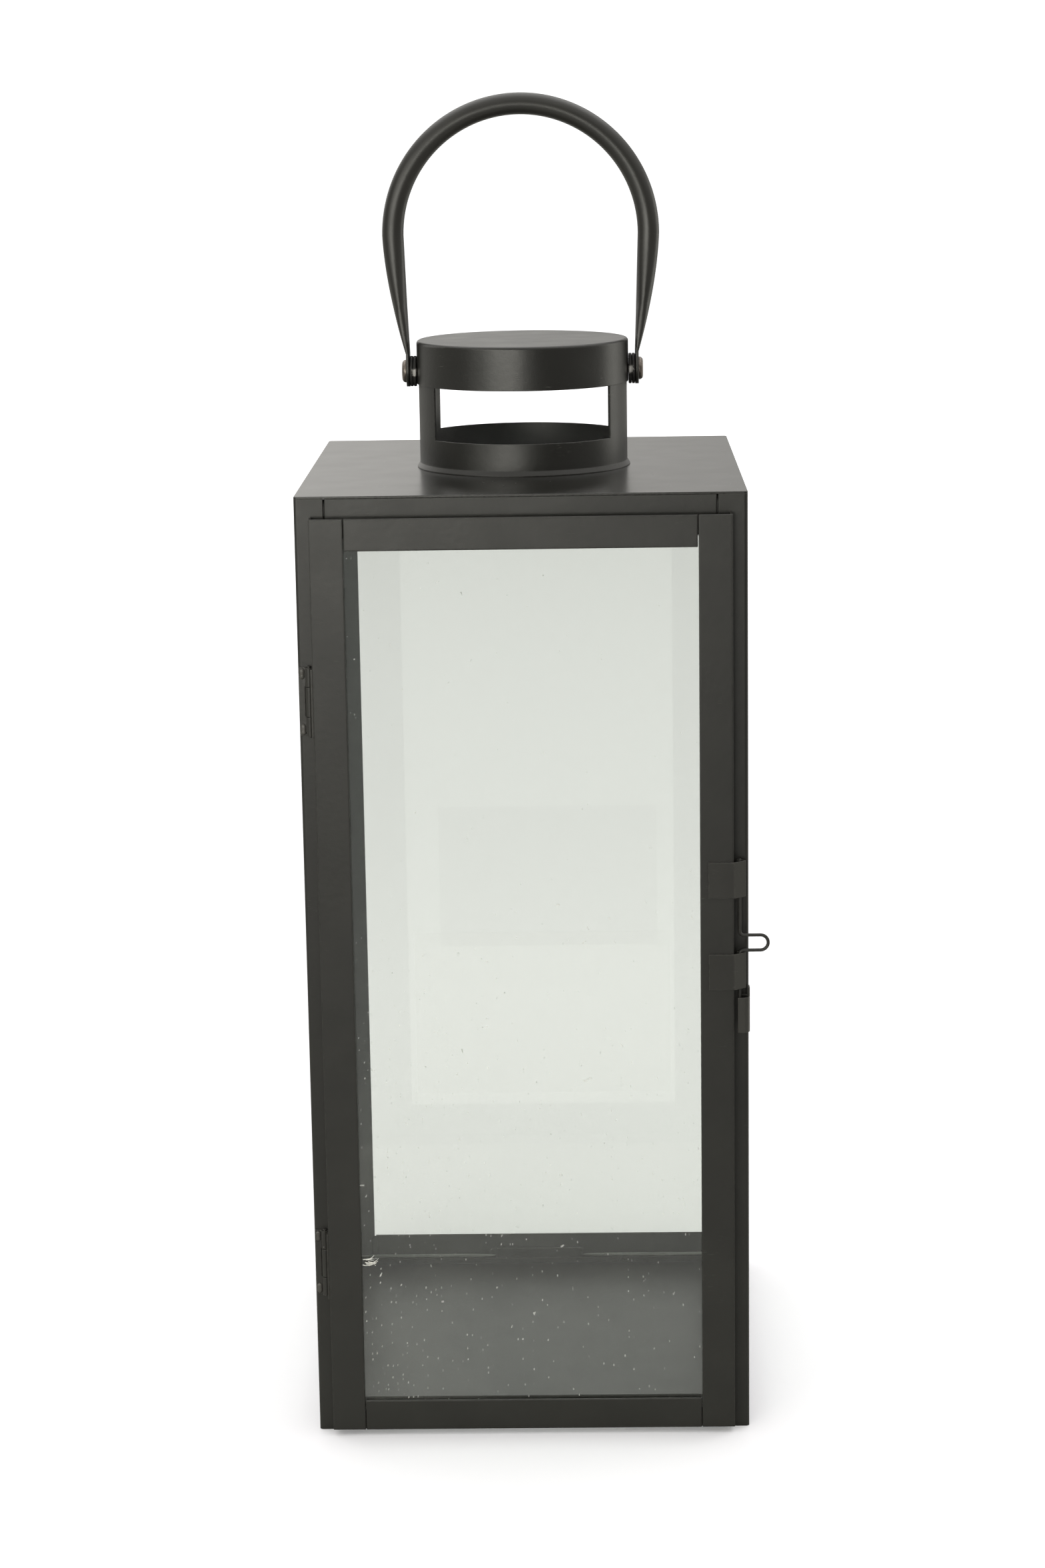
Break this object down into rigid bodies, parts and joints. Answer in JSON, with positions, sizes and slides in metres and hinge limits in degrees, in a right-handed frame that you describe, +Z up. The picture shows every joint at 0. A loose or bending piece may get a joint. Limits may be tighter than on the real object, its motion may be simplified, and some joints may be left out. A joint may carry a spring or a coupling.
{
  "type": "candle lantern",
  "caption": "Tall glazed metal candle lantern with a hinged glass door, wire bolt latch, round vented chimney and tube bail handle.",
  "frame": {"origin": "middle of the footprint of the body, on the surface that the lantern stands on", "axes": "+Z up, front door towards -Y, door hinges on the -X side"},
  "size_m": [0.2092, 0.2331, 0.6083],
  "materials": {
    "powder_black": "satin powder coat",
    "pane_glass": "clear float glass",
    "washer_black": "matte",
    "rivet_steel": "dull steel"
  },
  "bodies": {
    "lantern_body": {"post_front_left": "powder_black", "post_front_right": "powder_black", "post_back_left": "powder_black", "post_back_right": "powder_black", "top_rail_front": "powder_black", "top_rail_back": "powder_black", "top_rail_left": "powder_black", "top_rail_right": "powder_black", "bottom_rail_front": "powder_black", "bottom_rail_back": "powder_black", "bottom_rail_left": "powder_black", "bottom_rail_right": "powder_black", "top_plate": "powder_black", "floor_tray": "powder_black", "glass_back": "pane_glass", "glass_left": "pane_glass", "glass_right": "pane_glass", "pane_clips": "powder_black", "chimney_collar": "powder_black", "chimney_cap": "powder_black", "handle_rivets": "rivet_steel", "pivot_washers": "washer_black", "hinge_upper_body_leaf": "powder_black", "hinge_lower_body_leaf": "powder_black", "hinge_upper_pin": "powder_black", "hinge_lower_pin": "powder_black", "latch_keeper": "powder_black"},
    "door": {"door_stile_left": "powder_black", "door_stile_right": "powder_black", "door_rail_top": "powder_black", "door_rail_bottom": "powder_black", "door_glass": "pane_glass", "door_glass_clips": "powder_black", "hinge_upper_door_leaf": "powder_black", "hinge_lower_door_leaf": "powder_black", "latch_strap_upper": "powder_black", "latch_strap_lower": "powder_black"},
    "bolt": {"latch_bolt": "powder_black"},
    "handle": {"bail_handle": "powder_black"}
  },
  "joints": [
    {"name": "door_swing", "type": "hinge", "parent": "lantern_body", "child": "door", "pos_m": [-0.095, -0.1138, 0.215], "axis": [0, 0, -1], "range_deg": [0, 110]},
    {"name": "latch_slide", "type": "slide", "parent": "door", "child": "bolt", "axis": [0, 0, 1], "range_m": [0, 0.0165]},
    {"name": "handle_swing", "type": "hinge", "parent": "lantern_body", "child": "handle", "pos_m": [0, 0, 0.481], "axis": [1, 0, 0], "range_deg": [-108, 108]}
  ]
}
